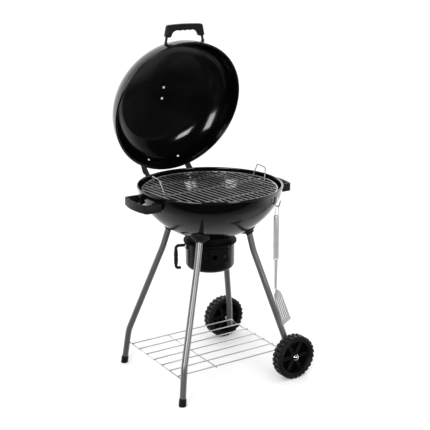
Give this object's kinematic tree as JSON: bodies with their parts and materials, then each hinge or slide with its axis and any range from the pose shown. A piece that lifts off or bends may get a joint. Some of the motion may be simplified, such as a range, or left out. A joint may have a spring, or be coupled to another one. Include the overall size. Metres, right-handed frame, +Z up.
{
  "type": "kettle charcoal grill",
  "caption": "Round kettle grill with hinged domed lid, wire grates, ash pot, tube legs with wheels at one side, wire shelf and a hanging spatula.",
  "frame": {"origin": "on the floor, below the middle of the whole grill's outline with its lid open", "axes": "+X towards the wheels, -Y towards the front, +Y towards the lid's hinge, +Z up"},
  "size_m": [0.686, 0.7164, 1.3755],
  "materials": {
    "enamel": "glossy black enamel",
    "black_steel": "semi-gloss black paint",
    "plastic": "matte black",
    "wheel_plastic": "matte black, moulded tread",
    "leg_steel": "grey metallic paint",
    "plated_wire": "plated wire",
    "grate_steel": "dull steel wire",
    "bright": "zinc plated",
    "stainless": "brushed"
  },
  "bodies": {
    "stand": {"bowl_shell": "enamel", "side_handle_left": "plastic", "side_handle_right": "plastic", "side_handle_bolts": "bright", "leg_socket_rear_left": "plastic", "leg_socket_front_left": "plastic", "leg_socket_rear_right": "plastic", "leg_socket_front_right": "plastic", "leg_rear_left": "leg_steel", "leg_front_left": "leg_steel", "leg_rear_right": "leg_steel", "leg_front_right": "leg_steel", "leg_bolts": "bright", "foot_cap_rear": "plastic", "foot_cap_front": "plastic", "leg_plugs": "plastic", "bottom_shelf": "plated_wire", "axle_front": "bright", "axle_rear": "bright", "axle_nuts": "bright", "axle_spacers": "bright", "charcoal_grate": "grate_steel", "grate_supports": "black_steel", "ash_collar": "black_steel", "ash_clips": "bright", "bowl_hinge_bracket": "black_steel", "bowl_hinge_bolts": "bright", "hinge_pins": "bright", "tool_hook": "plated_wire", "tool_hook_bolt": "bright", "hub_cap_front": "bright", "hub_cap_rear": "bright"},
    "lid": {"lid_shell": "enamel", "lid_hinge_bracket": "black_steel", "lid_hinge_bolts": "bright", "lid_handle_stems": "black_steel", "lid_handle_grip": "plastic", "vent_bolt": "bright"},
    "lid_vent": {"vent_disc": "black_steel", "vent_knob": "plastic", "vent_knob_bolt": "bright"},
    "wheel_front": {"wheel_front": "wheel_plastic"},
    "wheel_rear": {"wheel_rear": "wheel_plastic"},
    "cooking_grate": {"cooking_grate": "plated_wire", "grate_handle_left": "plated_wire", "grate_handle_right": "plated_wire"},
    "ash_pot": {"ash_pot": "black_steel", "pot_handle": "black_steel", "pot_handle_bolts": "bright", "damper_rails": "black_steel"},
    "ash_damper": {"ash_damper": "black_steel", "damper_knob": "plastic"},
    "spatula": {"spatula_blade": "stainless", "spatula_handle": "stainless", "spatula_loop": "stainless"}
  },
  "joints": [
    {"name": "lid_hinge", "type": "hinge", "parent": "stand", "child": "lid", "pos_m": [0, 0.24948, 0.751], "axis": [1, 0, 0], "range_deg": [0, 71.6]},
    {"name": "lid_vent", "type": "hinge", "parent": "lid", "child": "lid_vent", "pos_m": [0, 0.30928, 1.10708], "axis": [0, 0.9393, 0.343], "range_deg": [0, 60]},
    {"name": "wheel_front_spin", "type": "hinge", "parent": "stand", "child": "wheel_front", "pos_m": [0.23163, -0.2916, 0.089], "axis": [0, 1, 0], "continuous": true},
    {"name": "wheel_rear_spin", "type": "hinge", "parent": "stand", "child": "wheel_rear", "pos_m": [0.23163, 0.20257, 0.089], "axis": [0, 1, 0], "continuous": true},
    {"name": "cooking_grate_lift", "type": "slide", "parent": "stand", "child": "cooking_grate", "axis": [0, 0, 1], "range_m": [0, 0.045]},
    {"name": "ash_pot_drop", "type": "slide", "parent": "stand", "child": "ash_pot", "axis": [0, 0, -1], "range_m": [0, 0.12]},
    {"name": "ash_damper_turn", "type": "hinge", "parent": "ash_pot", "child": "ash_damper", "pos_m": [0, -0.04452, 0.504], "axis": [0, 0, -1], "range_deg": [0, 20]},
    {"name": "spatula_swing", "type": "hinge", "parent": "stand", "child": "spatula", "pos_m": [0.14133, -0.29431, 0.728], "axis": [-0.8704, -0.4924, 0], "range_deg": [0, 35]}
  ]
}
